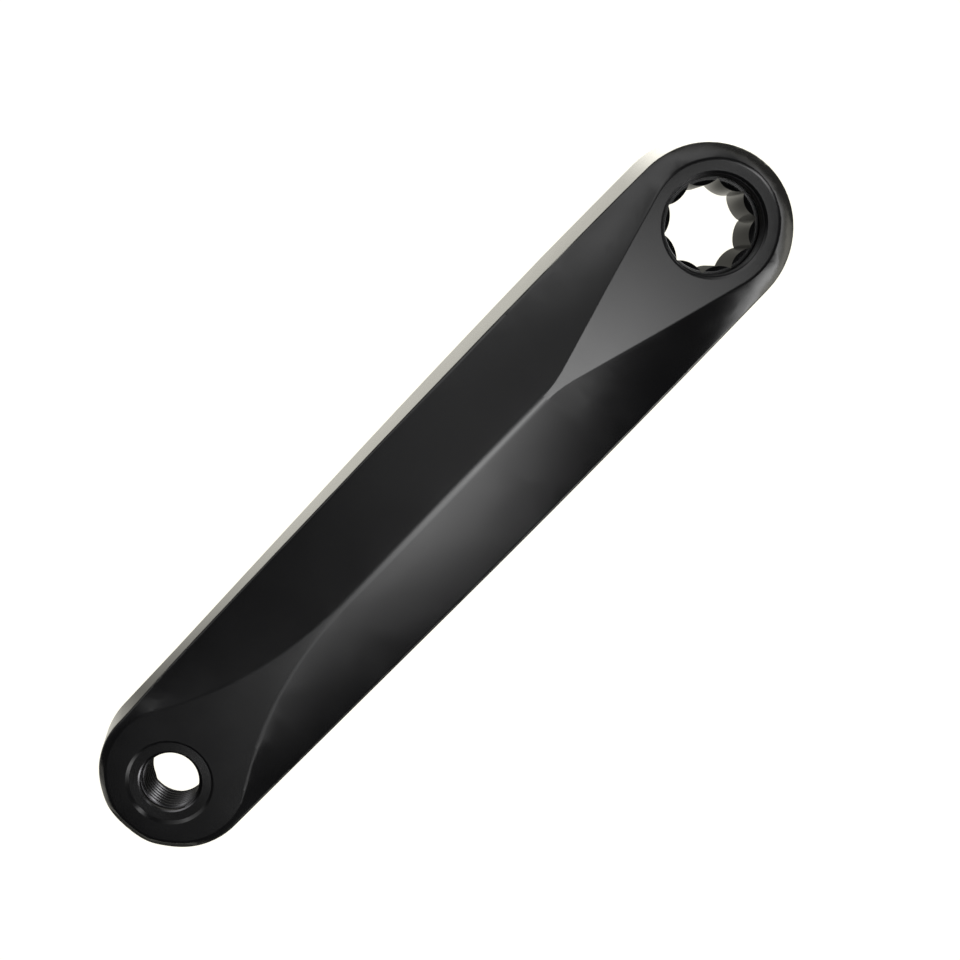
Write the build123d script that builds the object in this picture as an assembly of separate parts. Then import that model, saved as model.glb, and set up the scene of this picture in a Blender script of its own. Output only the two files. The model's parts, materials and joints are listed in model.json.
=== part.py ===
from build123d import *
from math import asin, cos, pi, radians, sin, sqrt, tan
import os

# Bicycle crank arm, forged and machined from one piece of aluminium.
# Origin: on the spindle axis, in the plane of the hub's inner face.
# +X runs along the arm to the pedal, +Z along the spindle to the outer side. Millimetres and degrees.

# Overall
arm_length = 175.0  # spindle axis to pedal axis
hub_depth = 26.0  # inner hub face to outer face
eye_depth = 12.5  # thickness of the pedal eye
root_depth = 19.0  # thickness of the arm where it leaves the hub

# Spindle socket: rounded splines under a counterbore with the puller's thread
puller_radius = 11.0  # nominal, M22 x 1
puller_depth = 5.5
puller_chamfer = 0.5
shoulder_width = 0.7  # floor of the counterbore, outside the grooves
spline_count = 10
spline_depth = 1.5  # from groove to crest
socket_lead = 1.0  # cones that open both ends of the splines

# Pedal hole
pedal_radius = 7.145  # nominal, 9/16 inch x 20
pedal_chamfer = 0.3
seat_width = 2.35  # spot face for the pedal's shoulder
seat_depth = 0.6
seat_flare = 0.7  # its wall opens by this much towards the outer face

# Plan outline, at the level of the outer face
hub_bank = 4.1  # from the flat ring out to the hub's end arc
hub_end_inset = 1.3  # centre of the hub's end arc, from the spindle axis towards the eye
eye_end_radius = 17.85
eye_end_inset = 2.1  # centre of the eye's end arc, from the pedal axis towards the hub
belly_radius = 3500.0  # the sides swell beside the hub and run straight to the eye
side_swell = 0.47  # angle between a straight side and the line that touches both end arcs
wall_draft = 9.0  # the side walls lean out towards the inner side

# Raised flat of the outer face: a teardrop round the hub, a ridge, and a flare at the pedal
ring_width = 3.0  # from the counterbore out to the teardrop's round end
tear_half_angle = 16.2
apex_radius = 25.0
ridge_width = 1.3
flare_reach = 58.0  # from the pedal axis back to where the flare leaves the ridge
eye_margin = 1.6  # from the flat's edge round the eye out to the outline
flat_round = 1.5  # round the hub and the eye's tip
ridge_round = 6.0  # along the ridge and the flare
flare_round = 3.0  # along the flare's last part
flare_round_reach = 20.0  # from the pedal axis back to where that part begins

# Flanks that fall away beside the flat, down to a rail that runs outside the walls
rail_drop = 5.0
hub_rail_margin = 1.1  # from the wall out to the rail, round the hub
waist_rail_margin = 9.6  # at the widest place of the sides
eye_rail_margin = 7.4  # beside the eye
tip_rail_margin = 1.8  # at the eye's tip
flank_crown = 0.35  # how far the flanks bulge above straight lines
edge_round = 1.0

# Inner side
boss_wall = 5.2  # round the grooves of the socket
boss_foot_round = 2.0
boss_chamfer = 0.6
eye_pad_reach = 21.0  # flat of the eye's inner face, from the pedal axis towards the hub
root_reach = 30.0  # flat of the root's inner face, from the spindle axis towards the eye
back_edge_round = 1.2

# Cutting tools reach this far past the faces that they cut, and edges are found within a tolerance
overrun = 2.0
tolerance = 1e-3

# Levels and places that follow from these
outer_z = hub_depth
eye_back_z = outer_z - eye_depth
root_back_z = outer_z - root_depth
puller_floor_z = outer_z - puller_depth
seat_z = outer_z - seat_depth
groove_radius = puller_radius - shoulder_width
crest_radius = groove_radius - spline_depth
boss_radius = groove_radius + boss_wall
seat_radius = pedal_radius + seat_width
ring_radius = puller_radius + ring_width
hub_end_radius = ring_radius + hub_bank
hub_centre = Vector(hub_end_inset, 0)
eye_centre = Vector(arm_length - eye_end_inset, 0)
flat_eye_radius = eye_end_radius - eye_margin
half_ridge = ridge_width / 2.0
flare_start = arm_length - flare_reach
wall_spread = rail_drop * tan(radians(wall_draft))  # how far the walls lean out down to the rail
far_x = arm_length + 3.0 * eye_end_radius
half_reach = 5.0 * eye_end_radius

# Direction across a straight side, in which it leaves the eye's end arc
ends_turn = asin((hub_end_radius - eye_end_radius) / (eye_centre.X - hub_centre.X))
side_turn = ends_turn + radians(side_swell)
eye_touch = Vector(sin(side_turn), cos(side_turn))


def belly_centre():
    """Centre of the +Y side's belly, which touches the straight side and encloses the hub's end arc."""
    along = Vector(eye_touch.Y, -eye_touch.X)
    depth = eye_touch.dot(eye_centre - hub_centre) + eye_end_radius - belly_radius
    shift = sqrt((belly_radius - hub_end_radius) ** 2 - depth**2)
    return hub_centre + eye_touch * depth + along * shift


# Direction in which the belly leaves the hub's end arc
hub_touch = (hub_centre - belly_centre()).normalized()


def flip(point):
    """The same point on the other side of the arm's middle plane."""
    return Vector(point.X, -point.Y)


def outline(grow):
    """Plan outline grown by an offset: two end arcs, with a belly and a straight run on each side."""
    hub_end = hub_centre + hub_touch * (hub_end_radius + grow)
    hub_tip = hub_centre - Vector(hub_end_radius + grow, 0)
    belly_mid = belly_centre() + (hub_touch + eye_touch).normalized() * (belly_radius + grow)
    belly_end = belly_centre() + eye_touch * (belly_radius + grow)
    eye_end = eye_centre + eye_touch * (eye_end_radius + grow)
    eye_tip = eye_centre + Vector(eye_end_radius + grow, 0)
    return make_face(
        [
            ThreePointArc(hub_end, hub_tip, flip(hub_end)),
            ThreePointArc(flip(hub_end), flip(belly_mid), flip(belly_end)),
            Line(flip(belly_end), flip(eye_end)),
            ThreePointArc(flip(eye_end), eye_tip, eye_end),
            Line(eye_end, belly_end),
            ThreePointArc(belly_end, belly_mid, hub_end),
        ]
    )


def hub_arc(centre, radius):
    """Arc round the hub, from its end on the X axis to where the +Y side begins."""
    middle = (hub_touch + Vector(-1, 0)).normalized()
    return ThreePointArc(centre - Vector(radius, 0), centre + middle * radius, centre + hub_touch * radius)


def flare_end():
    """Where the flare, tangent to the ridge, runs into the arc of the flat's edge round the eye."""
    along = eye_centre.X - flare_start
    radius = (along**2 + half_ridge**2 - flat_eye_radius**2) / (2.0 * (flat_eye_radius - half_ridge))
    towards = Vector(-along, half_ridge + radius).normalized()
    return eye_centre + towards * flat_eye_radius


def eye_arc(start, centre, radius):
    """Arc round the eye from a start on the +Y side to its tip on the X axis."""
    middle = ((start - centre).normalized() + Vector(1, 0)).normalized()
    return ThreePointArc(start, centre + middle * radius, centre + Vector(radius, 0))


def flat_edge():
    """Edge of the raised flat on the +Y side: ring, side of the teardrop, apex, ridge and flare."""
    turn = radians(tear_half_angle)
    touch = Vector(sin(turn), cos(turn)) * ring_radius
    ring_mid = (hub_touch * ring_radius + touch).normalized() * ring_radius
    apex_x = (ring_radius - half_ridge * cos(turn)) / sin(turn)
    reach = apex_radius * tan(turn / 2.0)
    apex_in = Vector(apex_x - reach * cos(turn), half_ridge + reach * sin(turn))
    apex_out = Vector(apex_x + reach, half_ridge)
    ridge_end = Vector(flare_start, half_ridge)
    return [
        hub_arc(Vector(0, 0), ring_radius),
        ThreePointArc(hub_touch * ring_radius, ring_mid, touch),
        Line(touch, apex_in),
        TangentArc(apex_in, apex_out, tangent=apex_in - touch),
        Line(apex_out, ridge_end),
        TangentArc(ridge_end, flare_end(), tangent=(1, 0)),
        eye_arc(flare_end(), eye_centre, flat_eye_radius),
    ]


def split_at(edge, places):
    """Pieces of an edge that runs towards +X, split where its X reaches each of the places."""
    cuts = [0.0]
    for place in places:
        low, high = 0.0, 1.0
        while high - low > 1e-9:
            middle = (low + high) / 2.0
            if (edge @ middle).X < place:
                low = middle
            else:
                high = middle
        cuts.append(low)
    cuts.append(1.0)
    return [edge.trim(start, end) for start, end in zip(cuts, cuts[1:])]


def rail_edge(flat):
    """Rail under the flanks on the +Y side, with one piece for each piece of the flat's edge."""
    hub_radius = hub_end_radius + wall_spread + hub_rail_margin
    eye_radius = eye_end_radius + wall_spread + eye_rail_margin
    tip = eye_centre + Vector(eye_end_radius + wall_spread + tip_rail_margin, 0)
    rail_centre = tip - Vector(eye_radius, 0)
    widest = belly_centre() + Vector(0, belly_radius + wall_spread + waist_rail_margin)
    side = Spline(
        hub_centre + hub_touch * hub_radius,
        widest,
        rail_centre + Vector(0, eye_radius),
        tangents=[(hub_touch.Y, -hub_touch.X), (1, 0)],
    )
    pieces = split_at(side, [(edge @ 1).X for edge in flat[1:5]])
    return [hub_arc(hub_centre, hub_radius), *pieces, eye_arc(side @ 1, rail_centre, eye_radius)]


def halfway(first, second):
    """Smooth edge halfway between two edges, with their mean direction at its ends."""
    step = 1e-3
    points = [(first @ u + second @ u) * 0.5 for u in (0.0, 0.25, 0.5, 0.75, 1.0)]
    start = first @ step - first @ 0 + second @ step - second @ 0
    finish = first @ 1 - first @ (1 - step) + second @ 1 - second @ (1 - step)
    return Spline(*points, tangents=[start.normalized(), finish.normalized()])


def both_sides(half, z):
    """Closed wire at height z from its +Y half, which runs from the hub's end to the eye's tip."""
    mirrored = [edge.mirror(Plane.XZ) for edge in reversed(half)]
    return Wire([*half, *mirrored]).moved(Pos(0, 0, z))


def soften(roof, flat):
    """Rounds the flat's edge in zones along the arm: gently beside the ridge, tighter towards both ends."""
    ridge_start = (flat[3] @ 1).X
    flare_middle = arm_length - flare_round_reach
    flare_stop = (flat[5] @ 1).X
    softened = Part()
    for start, stop, radius in (
        (-far_x, ridge_start, flat_round),
        (ridge_start, flare_middle, ridge_round),
        (flare_middle, flare_stop, flare_round),
        (flare_stop, far_x, flat_round),
    ):
        zone = Pos((start + stop) / 2.0, 0, 0) * Box(stop - start, 2.0 * half_reach, 3.0 * hub_depth)
        piece = roof & zone
        top = piece.faces().sort_by(Axis.Z)[-1]
        run = top.edges().filter_by(lambda edge: edge.bounding_box().size.X > tolerance)
        softened = softened + fillet(run, radius)
    return softened


def forging():
    """Drafted blank with the flanks cut away beside the flat, and its upper edge rounded."""
    grow = hub_depth * tan(radians(wall_draft))
    blank = extrude(outline(grow), amount=hub_depth, taper=wall_draft)
    flat = flat_edge()
    rail = rail_edge(flat)
    middle = [halfway(upper, lower) for upper, lower in zip(flat, rail)]
    sections = [
        both_sides(rail, outer_z - rail_drop),
        both_sides(middle, outer_z - rail_drop / 2.0 + flank_crown),
        both_sides(flat, outer_z),
    ]
    roof = soften(Solid.make_loft(sections), flat)
    slab = extrude(Rectangle(2.0 * far_x, 2.0 * half_reach), amount=rail_drop + overrun)
    body = blank - (Pos(0, 0, outer_z - rail_drop) * slab - roof)
    walls = body.faces().filter_by(lambda face: face.bounding_box().size.Z > hub_depth / 2.0)
    rim = walls.edges().filter_by(lambda edge: edge.bounding_box().min.Z > outer_z - 2.0 * rail_drop)
    return fillet(rim, edge_round)


def inner_side(body):
    """Cuts the inner side to its slope, leaves the hub's boss standing, and rounds both."""
    slope = Polyline(
        (-far_x, -overrun),
        (-far_x, root_back_z),
        (root_reach, root_back_z),
        (arm_length - eye_pad_reach, eye_back_z),
        (2.0 * far_x, eye_back_z),
        (2.0 * far_x, -overrun),
        close=True,
    )
    waste = extrude(Plane.XZ * make_face(slope), amount=half_reach, both=True)
    boss = Pos(0, 0, -overrun) * extrude(Circle(boss_radius), amount=root_back_z + overrun)
    body = body - (waste - boss)
    walls = body.faces().filter_by(lambda face: face.bounding_box().max.Z > eye_back_z + overrun)
    walls = walls.filter_by(lambda face: face.bounding_box().min.Z < eye_back_z + overrun)
    back = walls.edges().filter_by(lambda edge: edge.bounding_box().max.Z < eye_back_z + overrun / 2.0)
    body = fillet(back, back_edge_round)
    circles = body.edges().filter_by(GeomType.CIRCLE)
    foot = circles.filter_by(lambda edge: abs(edge.radius - boss_radius) < tolerance)
    foot = foot.filter_by(lambda edge: abs(edge.center().Z - root_back_z) < tolerance)
    body = fillet(foot, boss_foot_round)
    rim = body.edges().filter_by(GeomType.CIRCLE).group_by(Axis.Z)[0]
    return chamfer(rim, boss_chamfer)


def turned(points, x):
    """Tool turned about a hole's axis at the given X, from its half section as (radius, height) points."""
    section = make_face(Polyline(*points, close=True))
    return Pos(x, 0, 0) * revolve(Plane.XZ * section, Axis.Z)


def socket_tools():
    """Puller's counterbore with the lead cones, and the prism of the splines."""
    mouth = crest_radius + socket_lead
    core = crest_radius - overrun
    bore = turned(
        [
            (0, -overrun),
            (mouth + overrun, -overrun),
            (core, socket_lead + overrun),
            (core, puller_floor_z - socket_lead - overrun),
            (mouth, puller_floor_z),
            (puller_radius, puller_floor_z),
            (puller_radius, outer_z - puller_chamfer),
            (puller_radius + puller_chamfer + overrun, outer_z + overrun),
            (0, outer_z + overrun),
        ],
        0.0,
    )
    pitch = 2.0 * pi / spline_count
    arcs = []
    for index in range(spline_count):
        turns = [(index + share) * pitch for share in (0.0, 0.5, 1.0)]
        radii = [groove_radius, crest_radius, groove_radius]
        arcs.append(ThreePointArc(*[(r * cos(a), r * sin(a)) for r, a in zip(radii, turns)]))
    prism = extrude(make_face(arcs), amount=puller_floor_z + overrun)
    return [bore, Pos(0, 0, -overrun) * prism]


def pedal_tool():
    """Pedal hole, chamfered at both ends, with the spot face round its outer mouth."""
    return turned(
        [
            (0, eye_back_z - overrun),
            (pedal_radius + pedal_chamfer + overrun, eye_back_z - overrun),
            (pedal_radius, eye_back_z + pedal_chamfer),
            (pedal_radius, seat_z - pedal_chamfer),
            (pedal_radius + pedal_chamfer, seat_z),
            (seat_radius, seat_z),
            (seat_radius + seat_flare, outer_z),
            (seat_radius + seat_flare, outer_z + overrun),
            (0, outer_z + overrun),
        ],
        arm_length,
    )


crank_arm = inner_side(forging())
for tool in [*socket_tools(), pedal_tool()]:
    crank_arm = crank_arm - tool

os.makedirs("parts", exist_ok=True)
export_step(crank_arm, "parts/crank_arm.step")
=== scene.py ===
"""Looks of a bicycle crank arm: satin coat, threads in its two bores, studio and camera."""

import json
import logging
from dataclasses import dataclass
from enum import Enum
from math import cos, pi, radians, sin, tan

import bmesh
import bpy
import numpy as np
from mathutils import Matrix, Vector


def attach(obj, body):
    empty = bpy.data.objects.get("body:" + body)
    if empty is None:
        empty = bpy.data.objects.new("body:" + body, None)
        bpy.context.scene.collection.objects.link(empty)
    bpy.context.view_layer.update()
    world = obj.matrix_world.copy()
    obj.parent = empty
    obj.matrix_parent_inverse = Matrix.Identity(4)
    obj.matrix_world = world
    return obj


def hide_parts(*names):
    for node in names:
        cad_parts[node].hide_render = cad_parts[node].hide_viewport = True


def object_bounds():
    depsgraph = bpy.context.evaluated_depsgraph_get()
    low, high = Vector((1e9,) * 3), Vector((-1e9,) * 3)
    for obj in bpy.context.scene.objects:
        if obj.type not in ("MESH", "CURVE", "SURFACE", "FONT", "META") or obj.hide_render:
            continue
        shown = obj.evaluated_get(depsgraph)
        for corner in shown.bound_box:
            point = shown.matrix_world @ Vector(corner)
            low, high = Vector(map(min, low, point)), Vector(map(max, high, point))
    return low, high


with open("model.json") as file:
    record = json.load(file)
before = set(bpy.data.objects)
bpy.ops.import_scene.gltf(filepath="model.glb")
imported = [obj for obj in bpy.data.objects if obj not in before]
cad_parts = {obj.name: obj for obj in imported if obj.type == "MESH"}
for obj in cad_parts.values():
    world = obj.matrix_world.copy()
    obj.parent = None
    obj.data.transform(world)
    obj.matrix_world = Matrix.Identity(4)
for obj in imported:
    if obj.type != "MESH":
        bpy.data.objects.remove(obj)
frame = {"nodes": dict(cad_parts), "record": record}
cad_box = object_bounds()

MM = 0.001
log = logging.getLogger("crank_arm")

Colour = tuple[float, float, float]
Point = tuple[float, float, float]
Edge = tuple[float, float]
Sockets = dict[str, bpy.types.NodeSocket]


class Hand(Enum):
    """The way in which a thread climbs round its axis."""

    RIGHT = 1.0
    LEFT = -1.0


class Noise(Enum):
    """The noises that the grain group puts out."""

    GRAIN = "Grain"
    MOTTLE = "Mottle"


def find_mount(name: str) -> dict:
    """Finds a mount of the frame's record by its name."""
    return next(mount for mount in frame["record"]["mounts"] if mount["name"] == name)


def new_object(name: str, data: bpy.types.ID) -> bpy.types.Object:
    """Adds an object to the scene.

    Args:
        name: Name of the object.
        data: Its mesh or camera.

    Returns:
        The object, at the origin.
    """
    made = bpy.data.objects.new(name, data)
    bpy.context.scene.collection.objects.link(made)
    return made


class NodeCanvas:
    """Places and joins the nodes of one shader tree.

    Args:
        tree: The node tree that is filled, emptied first.
    """

    def __init__(self, tree: bpy.types.NodeTree) -> None:
        """Keeps the tree and empties it."""
        self.tree = tree
        tree.nodes.clear()

    def add(self, kind: str, **settings: object) -> bpy.types.Node:
        """Adds a node and sets its properties.

        Args:
            kind: Blender's name for the kind of node.
            settings: Properties of the node, by name.

        Returns:
            The new node.
        """
        node = self.tree.nodes.new(kind)
        for name, value in settings.items():
            setattr(node, name, value)
        return node

    def place(self, group: bpy.types.NodeTree, values: dict[str, object]) -> bpy.types.Node:
        """Adds a node group and sets its inputs.

        Args:
            group: The group.
            values: Value of each input, by name.

        Returns:
            The group's node.
        """
        node = self.add("ShaderNodeGroup", node_tree=group)
        for title, value in values.items():
            node.inputs[title].default_value = value
        return node

    def join(self, source: bpy.types.NodeSocket, target: bpy.types.NodeSocket) -> None:
        """Links an output to an input."""
        self.tree.links.new(source, target)

    def math(self, operation: str, *terms: object) -> bpy.types.NodeSocket:
        """Adds a Math node whose inputs are sockets or plain numbers.

        Args:
            operation: Name of the operation, such as MULTIPLY.
            terms: Its inputs, in order.

        Returns:
            The node's output.
        """
        node = self.add("ShaderNodeMath", operation=operation)
        for socket, term in zip(node.inputs, terms):
            if isinstance(term, bpy.types.NodeSocket):
                self.join(term, socket)
            else:
                socket.default_value = term
        return node.outputs[0]

    def ramp(self, value: bpy.types.NodeSocket, edge: Edge) -> bpy.types.NodeSocket:
        """Adds a smooth ramp of a value, 0 at the edge's first number and 1 at its second.

        Args:
            value: Output that is ramped.
            edge: Values at which the ramp starts and ends.

        Returns:
            The ramp's output.
        """
        node = self.add("ShaderNodeMapRange", interpolation_type="SMOOTHSTEP")
        node.inputs["From Min"].default_value, node.inputs["From Max"].default_value = edge
        self.join(value, node.inputs["Value"])
        return node.outputs["Result"]

    def seen_or_lit(self, seen: float, light: bpy.types.NodeSocket) -> bpy.types.NodeSocket:
        """Strength of a glow that the camera sees in another way than the arm does.

        The strength is the light, plus the difference between what is seen and the light where
        the ray comes from the camera.

        Args:
            seen: Strength to the camera.
            light: Strength to every other ray.

        Returns:
            The strength's output.
        """
        ray = self.add("ShaderNodeLightPath").outputs["Is Camera Ray"]
        return self.math("MULTIPLY_ADD", ray, self.math("SUBTRACT", seen, light), light)


def new_material(name: str) -> tuple[bpy.types.Material, NodeCanvas]:
    """Starts a material with no nodes in it.

    Args:
        name: Name of the material.

    Returns:
        The material and the canvas of its tree.
    """
    made = bpy.data.materials.new(name)
    made.use_nodes = True
    return made, NodeCanvas(made.node_tree)


def new_group(
    name: str, inputs: dict[str, object], outputs: tuple[str, ...]
) -> tuple[NodeCanvas, Sockets, Sockets]:
    """Starts a shader node group whose outputs are floats.

    Args:
        name: Name of the group.
        inputs: Default value of each input, by name: a number, or three for a vector.
        outputs: Names of the outputs.

    Returns:
        The group's canvas, its inputs as sockets to read from, and its outputs as sockets to feed.
    """
    tree = bpy.data.node_groups.new(name, "ShaderNodeTree")
    canvas = NodeCanvas(tree)
    for title, value in inputs.items():
        kind = "NodeSocketVector" if isinstance(value, tuple) else "NodeSocketFloat"
        socket = tree.interface.new_socket(title, in_out="INPUT", socket_type=kind)
        socket.default_value = value
    for title in outputs:
        tree.interface.new_socket(title, in_out="OUTPUT", socket_type="NodeSocketFloat")
    entry = canvas.add("NodeGroupInput").outputs
    leave = canvas.add("NodeGroupOutput").inputs
    return canvas, {t: entry[t] for t in inputs}, {t: leave[t] for t in outputs}


def grain_group(grain_detail: float = 2.0, mottle_detail: float = 4.0) -> bpy.types.NodeTree:
    """Fine grain of a blasted and coated surface.

    Grain is a noise of the given cell size. Mottle is a slow noise, many cells wide, for gloss and
    tone.

    Args:
        grain_detail: Octaves of the grain.
        mottle_detail: Octaves of the mottle.

    Returns:
        The group, with inputs Cell and Patch in metres and outputs Grain and Mottle, about 0 to 1.
    """
    inputs = {"Cell": 0.2 * MM, "Patch": 12.0 * MM}
    titles = (Noise.GRAIN.value, Noise.MOTTLE.value)
    canvas, entry, leave = new_group("coat_grain", inputs, titles)
    place = canvas.add("ShaderNodeTexCoord").outputs["Object"]
    for title, size, detail in zip(titles, entry.values(), (grain_detail, mottle_detail)):
        noise = canvas.add("ShaderNodeTexNoise")
        noise.inputs["Detail"].default_value = detail
        canvas.join(place, noise.inputs["Vector"])
        canvas.join(canvas.math("DIVIDE", 1.0, size), noise.inputs["Scale"])
        canvas.join(noise.outputs["Fac"], leave[title])
    return canvas.tree


def turning_group() -> bpy.types.NodeTree:
    """Fine rings that a facing tool leaves round an axis parallel to Z.

    The height is the sine of a full turn times the distance from the axis over the pitch. It is 0
    beyond the reach, and farther than the band from the face's level.

    Returns:
        The group, with inputs Axis X, Level, Reach, Band and Pitch in metres and the output Rings.
    """
    inputs = {
        "Axis X": 0.0, "Level": 0.0, "Reach": 10.0 * MM, "Band": 1.0 * MM, "Pitch": 0.3 * MM,
    }
    canvas, entry, leave = new_group("turned_rings", inputs, ("Rings",))
    place = canvas.add("ShaderNodeSeparateXYZ")
    canvas.join(canvas.add("ShaderNodeTexCoord").outputs["Object"], place.inputs[0])
    along = canvas.math("SUBTRACT", place.outputs["X"], entry["Axis X"])
    across = place.outputs["Y"]
    squares = canvas.math("MULTIPLY_ADD", along, along, canvas.math("MULTIPLY", across, across))
    radius = canvas.math("SQRT", squares)
    inside = canvas.math("LESS_THAN", radius, entry["Reach"])
    lift = canvas.math("ABSOLUTE", canvas.math("SUBTRACT", place.outputs["Z"], entry["Level"]))
    level = canvas.math("LESS_THAN", lift, entry["Band"])
    phase = canvas.math("DIVIDE", canvas.math("MULTIPLY", radius, 2.0 * pi), entry["Pitch"])
    wave = canvas.math("SINE", phase)
    mask = canvas.math("MULTIPLY", inside, level)
    canvas.join(canvas.math("MULTIPLY", wave, mask), leave["Rings"])
    return canvas.tree


def card_group() -> bpy.types.NodeTree:
    """Glow of one lit card of the room, for a world.

    A direction's places sideways and upward on the card's plane are its parts along those axes
    over its part ahead. The glow is the radiance times e to minus the sum of their squares, on the
    card's side of the arm only.

    Returns:
        The group, with vector inputs Sideways, Upward and Ahead, the input Radiance and the output
        Glow.
    """
    inputs = {
        "Sideways": (1.0, 0.0, 0.0), "Upward": (0.0, 1.0, 0.0), "Ahead": (0.0, 0.0, 1.0),
        "Radiance": 1.0,
    }
    canvas, entry, leave = new_group("lit_card", inputs, ("Glow",))
    way = canvas.add("ShaderNodeTexCoord").outputs["Generated"]
    parts = {}
    for title in ("Sideways", "Upward", "Ahead"):
        product = canvas.add("ShaderNodeVectorMath", operation="DOT_PRODUCT")
        canvas.join(way, product.inputs[0])
        canvas.join(entry[title], product.inputs[1])
        parts[title] = product.outputs["Value"]
    spread = 0.0
    for title in ("Sideways", "Upward"):
        place = canvas.math("DIVIDE", parts[title], parts["Ahead"])
        spread = canvas.math("MULTIPLY_ADD", place, place, spread)
    shine = canvas.math("EXPONENT", canvas.math("MULTIPLY", spread, -1.0))
    shine = canvas.math("MULTIPLY", shine, canvas.math("GREATER_THAN", parts["Ahead"], 0.0))
    canvas.join(canvas.math("MULTIPLY", shine, entry["Radiance"]), leave["Glow"])
    return canvas.tree


@dataclass(frozen=True)
class SurfaceGroups:
    """The node groups that the arm's finishes share."""

    grain: bpy.types.NodeTree
    rings: bpy.types.NodeTree


@dataclass(frozen=True)
class TurnedFace:
    """A face turned flat after forging, square to an axis that is parallel to Z. Metres."""

    axis_x: float
    level: float
    reach: float
    band: float = 0.1 * MM


@dataclass(frozen=True)
class GrainedFinish:
    """Finish with a fine grain, and with a tone and a gloss that wander. Lengths are in metres."""

    name: str
    dark: Colour
    pale: Colour
    metallic: float
    roughness: float
    roughness_swing: float
    gloss: Noise
    cell: float
    patch: float
    grain_depth: float

    def material(self, groups: SurfaceGroups) -> bpy.types.Material:
        """Makes the finish's material.

        The tone goes from dark to pale with the mottle. The roughness swings about its value with
        the noise that the gloss names. The height goes to a bump, in metres.

        Args:
            groups: The shared node groups.

        Returns:
            The material.
        """
        made, canvas = new_material(self.name)
        shader = canvas.add("ShaderNodeBsdfPrincipled")
        shader.inputs["Metallic"].default_value = self.metallic
        canvas.join(shader.outputs[0], canvas.add("ShaderNodeOutputMaterial").inputs["Surface"])
        skin = canvas.place(groups.grain, {"Cell": self.cell, "Patch": self.patch})
        tone = canvas.add("ShaderNodeMix", data_type="RGBA")
        tone.inputs["A"].default_value = (*self.dark, 1.0)
        tone.inputs["B"].default_value = (*self.pale, 1.0)
        canvas.join(skin.outputs[Noise.MOTTLE.value], tone.inputs["Factor"])
        canvas.join(tone.outputs["Result"], shader.inputs["Base Color"])
        least = self.roughness - self.roughness_swing / 2.0
        wander = skin.outputs[self.gloss.value]
        swing = canvas.math("MULTIPLY_ADD", wander, self.roughness_swing, least)
        canvas.join(swing, shader.inputs["Roughness"])
        bump = canvas.add("ShaderNodeBump")
        bump.inputs["Distance"].default_value = 1.0
        canvas.join(self.height(canvas, skin, groups), bump.inputs["Height"])
        canvas.join(bump.outputs["Normal"], shader.inputs["Normal"])
        return made

    def height(
        self, canvas: NodeCanvas, skin: bpy.types.Node, groups: SurfaceGroups
    ) -> bpy.types.NodeSocket:
        """Height of the grain: the noise times its depth."""
        return canvas.math("MULTIPLY", skin.outputs[Noise.GRAIN.value], self.grain_depth)


@dataclass(frozen=True)
class SatinCoat(GrainedFinish):
    """Black satin coat on blasted aluminium, over the marks of its turned faces."""

    dark: Colour = (0.005, 0.005, 0.0055)
    pale: Colour = (0.009, 0.009, 0.0095)
    metallic: float = 0.0
    roughness: float = 0.20
    roughness_swing: float = 0.08
    gloss: Noise = Noise.MOTTLE
    cell: float = 0.22 * MM
    patch: float = 14.0 * MM
    grain_depth: float = 0.0010 * MM
    ring_pitch: float = 0.25 * MM
    ring_depth: float = 0.006 * MM
    faces: tuple[TurnedFace, ...] = ()

    def height(
        self, canvas: NodeCanvas, skin: bpy.types.Node, groups: SurfaceGroups
    ) -> bpy.types.NodeSocket:
        """Height of the grain, and of the rings on each turned face.

        Args:
            canvas: Canvas of the material's tree.
            skin: The grain group's node.
            groups: The shared node groups.

        Returns:
            The height's output.
        """
        height = super().height(canvas, skin, groups)
        for face in self.faces:
            turned = canvas.place(groups.rings, {
                "Axis X": face.axis_x, "Level": face.level, "Reach": face.reach,
                "Band": face.band, "Pitch": self.ring_pitch,
            })
            rings = turned.outputs["Rings"]
            height = canvas.math("MULTIPLY_ADD", rings, self.ring_depth / 2.0, height)
        return height


@dataclass(frozen=True)
class BareCut(GrainedFinish):
    """Tapped aluminium, darkened and finely torn, with no coat over it."""

    dark: Colour = (0.07, 0.07, 0.073)
    pale: Colour = (0.14, 0.14, 0.144)
    metallic: float = 1.0
    roughness: float = 0.24
    roughness_swing: float = 0.10
    gloss: Noise = Noise.GRAIN
    cell: float = 0.30 * MM
    patch: float = 3.0 * MM
    grain_depth: float = 0.003 * MM


@dataclass(frozen=True)
class LightPool:
    """Part of the floor that glows to the arm as a painted pool of light, and the edges where it
    rises from 0 to 1.

    The edges are in millimetres: along the arm (X), across it (Y) and outwards from the spindle
    axis.
    """

    strength: float
    along: tuple[Edge, ...] = ()
    across: tuple[Edge, ...] = ()
    outwards: tuple[Edge, ...] = ()


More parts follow.
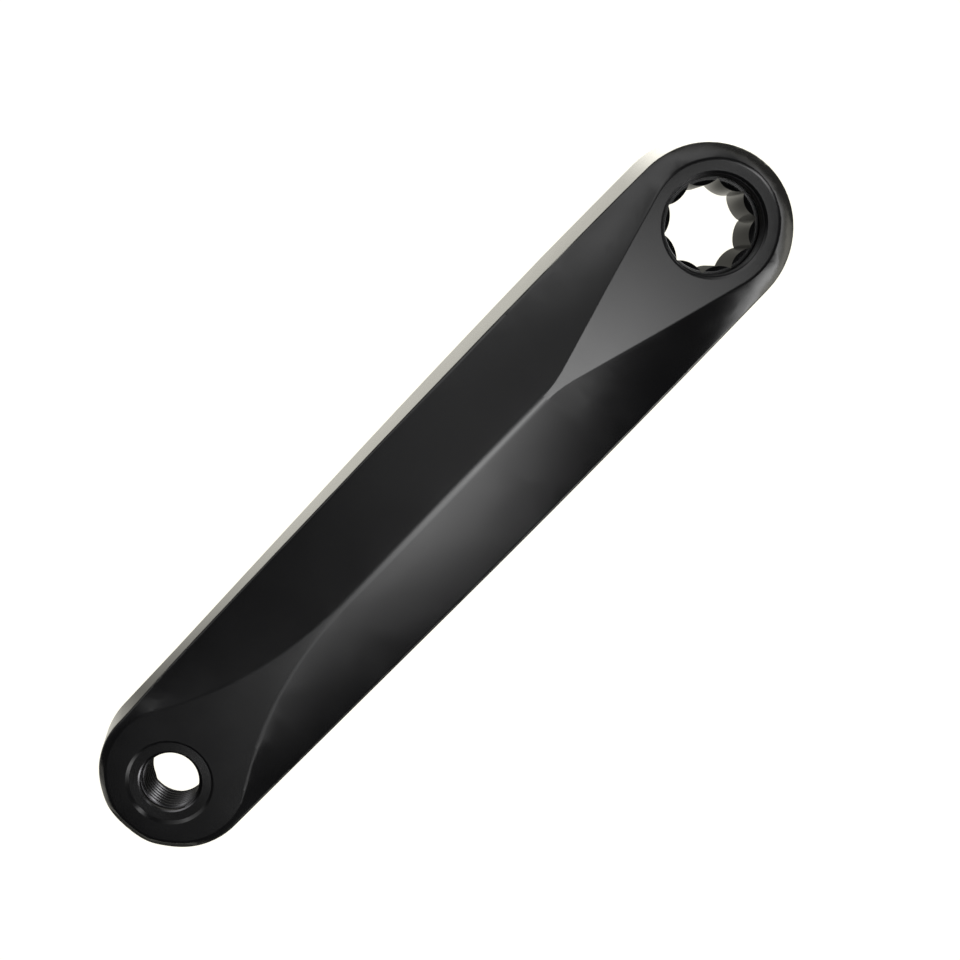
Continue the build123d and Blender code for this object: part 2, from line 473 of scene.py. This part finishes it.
@dataclass(frozen=True)
class LightTable:
    """Pale floor that glows: white to the camera, and to the arm dim but for pools of light,
    painted shade of the arm under and around it and painted pools of light beside it.
    """

    name: str = "pale_floor"
    colour: Colour = (1.0, 0.975, 0.875)
    seen: float = 1.15
    dim: float = 0.12
    pools: tuple[LightPool, ...] = (
        # Painted light beside the wall that the camera sees, along the whole arm, the hub and the
        # pedal eye; dark under the arm and the spindle bore as painted shade
        LightPool(strength=1.4, along=((-75.0, -45.0), (205.0, 100.0)),
                  across=((12.0, -11.0), (-60.0, -38.0)), outwards=((5.0, 17.0),)),
        LightPool(strength=1.6, along=((-75.0, -45.0), (6.0, -12.0)),
                  across=((12.0, -11.0), (-60.0, -38.0)), outwards=((5.0, 17.0),)),
        LightPool(strength=0.8, along=((174.0, 189.0),), across=((-8.0, -14.0), (-60.0, -38.0))),
        # Painted light on the other side of the hub, and far away all round; the floor near the arm
        # stays dim as painted shade
        LightPool(strength=1.8, along=((-200.0, -90.0), (70.0, 10.0)), across=((60.0, 100.0),)),
        LightPool(strength=0.9, outwards=((250.0, 700.0),)),
    )

    def material(self) -> bpy.types.Material:
        """Makes the floor's material.

        A pool's glow is its strength times a smooth ramp at each of its edges: a painted pool of
        light on the floor. To the arm, the floor's glow is the sum of the pools and the dim light,
        which stands as painted shade of the arm where no pool reaches.

        Returns:
            The material.
        """
        made, canvas = new_material(self.name)
        spot = canvas.add("ShaderNodeTexCoord").outputs["Object"]
        place = canvas.add("ShaderNodeSeparateXYZ")
        canvas.join(spot, place.inputs[0])
        away = canvas.add("ShaderNodeVectorMath", operation="LENGTH")
        canvas.join(spot, away.inputs[0])
        measures = (place.outputs["X"], place.outputs["Y"], away.outputs["Value"])
        # Dim glow to the arm: painted shade of the arm on the floor, raised by the painted pools of
        # light
        glow = self.dim
        for pool in self.pools:
            light = pool.strength
            for value, edges in zip(measures, (pool.along, pool.across, pool.outwards)):
                for first, last in edges:
                    ramp = canvas.ramp(value, (first * MM, last * MM))
                    light = canvas.math("MULTIPLY", light, ramp)
            glow = canvas.math("ADD", glow, light)
        lamp = canvas.add("ShaderNodeEmission")
        lamp.inputs["Color"].default_value = (*self.colour, 1.0)
        canvas.join(canvas.seen_or_lit(self.seen, glow), lamp.inputs["Strength"])
        canvas.join(lamp.outputs[0], canvas.add("ShaderNodeOutputMaterial").inputs["Surface"])
        return made


@dataclass(frozen=True)
class SoftCard:
    """Lit card on the walls of the room, bright in its middle and fading outwards.

    Degrees, as seen from the arm. The half size is sideways and upward.
    """

    bearing: float
    elevation: float
    half_size: tuple[float, float]
    radiance: float
    roll: float = 0.0

    def axes(self) -> tuple[Vector, Vector, Vector]:
        """Directions of the card.

        Returns:
            Sideways and upward directions, each over the tangent of its half angle, and the way to
            the card's middle.
        """
        bearing, rise, roll = radians(self.bearing), radians(self.elevation), radians(self.roll)
        ahead = Vector((cos(rise) * cos(bearing), cos(rise) * sin(bearing), sin(rise)))
        level = Vector((-sin(bearing), cos(bearing), 0.0))
        plumb = ahead.cross(level)
        sideways = level * cos(roll) + plumb * sin(roll)
        upward = plumb * cos(roll) - level * sin(roll)
        wide, tall = (tan(radians(half)) for half in self.half_size)
        return sideways / wide, upward / tall, ahead


def closed_sweep(name: str, rings: np.ndarray, crease: float = 50.0) -> bpy.types.Object:
    """Closed tube through rows of points, with a cap at each end.

    Face (i, j) joins points j and j + 1 of ring i to the same points of ring i + 1. If the signed
    volume, a sixth of the sum of the corners' triple products, is negative, every face is turned
    round.

    Args:
        name: Name of the object.
        rings: Points in metres, as an array of rings by points by three.
        crease: Angle in degrees from which an edge is shaded sharp.

    Returns:
        The object, at the origin.
    """
    steps, count = rings.shape[:2]
    index = np.arange(steps * count).reshape(steps, count)
    beside = np.roll(index, -1, axis=1)
    quads = np.stack((index[:-1], beside[:-1], beside[1:], index[1:]), axis=-1).reshape(-1, 4)
    points = rings.reshape(-1, 3)
    corner = points[quads]
    volume = np.einsum("ij,ij->i", corner[:, 0], np.cross(corner[:, 1], corner[:, 2])).sum()
    volume += np.einsum("ij,ij->i", corner[:, 0], np.cross(corner[:, 2], corner[:, 3])).sum()
    caps = [index[0, ::-1], index[-1]]
    if volume < 0.0:
        quads = quads[:, ::-1]
        caps = [cap[::-1] for cap in caps]
    mesh = bpy.data.meshes.new(name)
    mesh.from_pydata(points.tolist(), [], quads.tolist() + [cap.tolist() for cap in caps])
    mesh.shade_smooth()
    mesh.set_sharp_from_angle(angle=radians(crease))
    return new_object(name, mesh)


@dataclass
class ThreadedBore:
    """Turns of an internal thread that stand in a plain bore of the frame. Lengths are in metres.

    The crest and the root are shares of the pitch, the crest's easing is a share of the depth, and
    its flat is a share of the crest. At its ends the ridge sinks by a share of its seat.
    """

    name: str
    mount: str
    pitch: float
    hand: Hand
    flank: float = radians(30.0)
    crest_share: float = 0.25
    root_share: float = 0.125
    ease_share: float = 0.15
    flat_share: float = 0.6
    seat: float = 0.12 * MM
    sink_share: float = 0.5
    end_gap: float = 0.05 * MM
    entry_turns: float = 0.6
    exit_turns: float = 0.6
    steps_per_turn: int = 96

    def rings(self) -> np.ndarray:
        """Cross sections of the ridge, set along its helix.

        At angle a the ridge is at height pitch * a / 2 pi. Its section is a trapezium whose flanks
        lean by the flank angle, with eased crest corners and a foot sunk into the wall. Towards
        both ends the ridge sinks into the wall by a smooth step of the angle.

        Returns:
            Points as an array of sections by points by three.
        """
        mount = find_mount(self.mount)
        centre = np.array(mount["pos_m"])
        radius = mount["dims"]["r_mm"] * MM
        length = mount["dims"]["length_mm"] * MM
        foot = self.pitch * (1.0 - self.root_share) / 2.0
        crest = self.pitch * self.crest_share / 2.0
        depth = (foot - crest) / tan(self.flank)
        ease = self.ease_share * depth
        shoulder = crest + ease * tan(self.flank)
        flat = self.flat_share * crest
        profile = np.array([
            (-self.seat, -foot), (0.0, -foot), (depth - ease, -shoulder), (depth, -flat),
            (depth, flat), (depth - ease, shoulder), (0.0, foot), (-self.seat, foot),
        ])
        turns = (length - 2.0 * (foot + self.end_gap)) / self.pitch
        angle = np.linspace(0.0, 2.0 * pi * turns, int(turns * self.steps_per_turn))
        fade = np.minimum(angle / self.exit_turns, (angle[-1] - angle) / self.entry_turns)
        rise = np.clip(fade / (2.0 * pi), 0.0, 1.0)
        rise = (rise * rise * (3.0 - 2.0 * rise))[:, None]
        depths = np.maximum(profile[:, 0], 0.0) * rise - self.seat * (profile[:, 0] < 0.0)
        reach = radius - depths + self.sink_share * self.seat * (1.0 - rise)
        turn = (self.hand.value * angle)[:, None]
        climb = self.pitch * (angle - angle[-1] / 2.0) / (2.0 * pi)
        height = climb[:, None] + profile[:, 1]
        return np.stack((reach * np.cos(turn), reach * np.sin(turn), height), axis=-1) + centre

    def build(self) -> bpy.types.Object:
        """Makes the ridge's mesh and sets it on the arm.

        Returns:
            The ridge's piece.
        """
        made = closed_sweep(self.name, self.rings())
        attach(made, "root")
        return made

    def dress(self, made: bpy.types.Object, coat: bpy.types.Material) -> None:
        """Gives the ridge its coat."""
        made.data.materials.append(coat)


@dataclass
class ForgedArm:
    """The arm, as a whole skin in the place of the frame's loose triangles. Metres and degrees.

    The seat round the pedal hole and the shoulder over the splines lie below the arm's highest
    point, and the boss ends at its lowest.
    """

    name: str = "arm_forging"
    node: str = "crank_arm"
    weld: float = 0.001 * MM
    crease: float = 30.0
    area_weight: int = 100
    bare_mount: str = "pedal_thread"
    bare_margin: float = 0.4 * MM
    seat_depth: float = 0.6 * MM
    seat_reach: float = 9.5 * MM
    shoulder_depth: float = 5.5 * MM
    shoulder_reach: float = 11.0 * MM
    boss_reach: float = 15.5 * MM

    def turned_faces(self) -> tuple[TurnedFace, ...]:
        """Faces that were turned flat: the pedal's seat, the shoulder and the boss's end.

        Returns:
            The faces.
        """
        low, high = cad_box
        pedal_x = find_mount(self.bare_mount)["pos_m"][0]
        return (
            TurnedFace(pedal_x, high.z - self.seat_depth, self.seat_reach),
            TurnedFace(0.0, high.z - self.shoulder_depth, self.shoulder_reach),
            TurnedFace(0.0, low.z, self.boss_reach),
        )

    def build(self) -> bpy.types.Object:
        """Merges a copy of the frame's mesh and shades it with normals that follow larger faces.

        Returns:
            The arm's piece, which stands for the frame's node.
        """
        work = bmesh.new()
        work.from_mesh(frame["nodes"][self.node].data)
        bmesh.ops.remove_doubles(work, verts=work.verts, dist=self.weld)
        mesh = bpy.data.meshes.new(self.name)
        work.to_mesh(mesh)
        work.free()
        if mesh.has_custom_normals:
            mesh.attributes.remove(mesh.attributes["custom_normal"])
        mesh.materials.clear()
        mesh.shade_smooth()
        mesh.set_sharp_from_angle(angle=radians(self.crease))
        piece = new_object(self.name, mesh)
        normals = piece.modifiers.new("larger_faces", "WEIGHTED_NORMAL")
        normals.mode = "FACE_AREA"
        normals.weight = self.area_weight
        normals.keep_sharp = True
        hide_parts(self.node)
        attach(piece, "root")
        return piece

    def dress(
        self, piece: bpy.types.Object, coat: bpy.types.Material, cut: bpy.types.Material
    ) -> None:
        """Coats the arm, and leaves the tapped pedal hole bare.

        A face is bare if its middle is nearer to the pedal axis than the hole's radius plus the
        bare margin, which takes in the chamfers.

        Args:
            piece: The arm's piece.
            coat: Material of the coat.
            cut: Material of the bare hole.
        """
        mesh = piece.data
        mesh.materials.append(coat)
        mesh.materials.append(cut)
        mount = find_mount(self.bare_mount)
        middle = np.empty(3 * len(mesh.polygons))
        mesh.polygons.foreach_get("center", middle)
        away = middle.reshape(-1, 3)[:, :2] - np.array(mount["pos_m"][:2])
        bare = np.hypot(*away.T) < mount["dims"]["r_mm"] * MM + self.bare_margin
        mesh.polygons.foreach_set("material_index", bare.astype(np.int32))


@dataclass
class Studio:
    """Light table, dim room with lit cards, and the camera. Metres and degrees."""

    floor_half: float = 3.0
    floor_gap: float = 0.1 * MM
    room_seen: float = 1.15
    room_dim: float = 0.016
    cards: tuple[SoftCard, ...] = (
        # High up, for the flat and the flanks
        SoftCard(bearing=58.0, elevation=81.5, half_size=(6.5, 7.0), radiance=9.8, roll=-43.0),
        SoftCard(bearing=63.0, elevation=69.0, half_size=(6.5, 5.0), radiance=4.8, roll=-40.0),
        SoftCard(bearing=69.0, elevation=73.0, half_size=(15.0, 10.0), radiance=0.65, roll=10.0),
        SoftCard(bearing=-60.0, elevation=74.5, half_size=(5.5, 9.5), radiance=0.45, roll=-5.0),
        # Halfway up, on the -Y side and beyond the hub
        SoftCard(bearing=-92.0, elevation=48.0, half_size=(6.5, 22.0), radiance=2.0),
        SoftCard(bearing=170.0, elevation=52.0, half_size=(6.0, 18.0), radiance=6.5),
        # Near the floor, for the rims and the ends
        SoftCard(bearing=-112.0, elevation=12.0, half_size=(45.0, 18.5), radiance=1.55, roll=12.0),
        SoftCard(bearing=98.0, elevation=4.0, half_size=(22.5, 11.0), radiance=5.0, roll=-18.0),
        SoftCard(bearing=146.0, elevation=5.5, half_size=(42.5, 5.5), radiance=2.9, roll=-2.5),
    )
    eye: Point = (39.5 * MM, -31.2 * MM, 309.0 * MM)
    aim: Point = (74.5 * MM, 2.3 * MM, 26.0 * MM)
    picture_up: float = 224.0
    lens: float = 48.75
    sensor: float = 36.0
    clip_start: float = 10.0 * MM

    def build_floor(self, finish: LightTable) -> bpy.types.Object:
        """Lays the floor just under the arm's lowest point.

        Args:
            finish: The floor's finish.

        Returns:
            The floor.
        """
        level = cad_box[0].z - self.floor_gap
        middle = (cad_box[0] + cad_box[1]) / 2.0
        signs = np.array([(-1.0, -1.0), (1.0, -1.0), (1.0, 1.0), (-1.0, 1.0)])
        flat = signs * self.floor_half + np.array(middle[:2])
        points = np.column_stack((flat, np.full(len(flat), level)))
        mesh = bpy.data.meshes.new("floor")
        mesh.from_pydata(points.tolist(), [], [(0, 1, 2, 3)])
        mesh.materials.append(finish.material())
        floor = new_object("floor", mesh)
        return floor

    def light_room(self, card_glow: bpy.types.NodeTree) -> None:
        """Sets up a room that is white to the camera, and to the arm dim with lit cards.

        Args:
            card_glow: The lit card group.
        """
        world = bpy.data.worlds.new("room")
        world.use_nodes = True
        bpy.context.scene.world = world
        canvas = NodeCanvas(world.node_tree)
        light = self.room_dim
        for card in self.cards:
            values = dict(zip(("Sideways", "Upward", "Ahead"), card.axes()))
            node = canvas.place(card_glow, {**values, "Radiance": card.radiance})
            light = canvas.math("ADD", light, node.outputs["Glow"])
        glow = canvas.add("ShaderNodeBackground")
        glow.inputs["Color"].default_value = (1.0, 1.0, 1.0, 1.0)
        canvas.join(canvas.seen_or_lit(self.room_seen, light), glow.inputs["Strength"])
        canvas.join(glow.outputs[0], canvas.add("ShaderNodeOutputWorld").inputs["Surface"])

    def set_camera(self) -> None:
        """Sets the camera at the eye, aimed at its point, with the picture's top at its bearing."""
        data = bpy.data.cameras.new("camera")
        data.sensor_fit = "HORIZONTAL"
        data.sensor_width = self.sensor
        data.lens = self.lens
        data.clip_start = self.clip_start
        camera = new_object("camera", data)
        ahead = (Vector(self.aim) - Vector(self.eye)).normalized()
        top = Vector((cos(radians(self.picture_up)), sin(radians(self.picture_up)), 0.0))
        right = ahead.cross(top).normalized()
        turn = Matrix((right, right.cross(ahead), -ahead)).transposed()
        camera.matrix_world = Matrix.Translation(self.eye) @ turn.to_4x4()
        bpy.context.scene.camera = camera

    def set_film(self) -> None:
        """Shows the light as it is, so that the light table comes out white."""
        bpy.context.scene.view_settings.view_transform = "Standard"


def main() -> None:
    """Dresses the arm, cuts its threads and sets up the studio."""
    logging.basicConfig(level=logging.INFO)
    groups = SurfaceGroups(grain_group(), turning_group())
    forging = ForgedArm()
    arm = forging.build()
    cut = BareCut("bare_cut").material(groups)
    coat = SatinCoat("black_satin", faces=forging.turned_faces()).material(groups)
    forging.dress(arm, coat, cut)
    log.info("%s dressed", arm.name)
    thread_coat = SatinCoat("black_thread", roughness=0.3).material(groups)
    pedal = ThreadedBore("pedal_thread", "pedal_thread", pitch=1.27 * MM, hand=Hand.LEFT,
                         entry_turns=0.3, exit_turns=0.08)
    puller = ThreadedBore("puller_thread", "puller_thread", pitch=1.0 * MM, hand=Hand.RIGHT)
    for bore, finish in ((pedal, cut), (puller, thread_coat)):
        ridge = bore.build()
        bore.dress(ridge, finish)
        log.info("%s cut", ridge.name)
    studio = Studio()
    floor = studio.build_floor(LightTable())
    log.info("%s laid", floor.name)
    studio.light_room(card_group())
    studio.set_camera()
    studio.set_film()
    log.info("studio set")


if __name__ == "__main__":
    main()
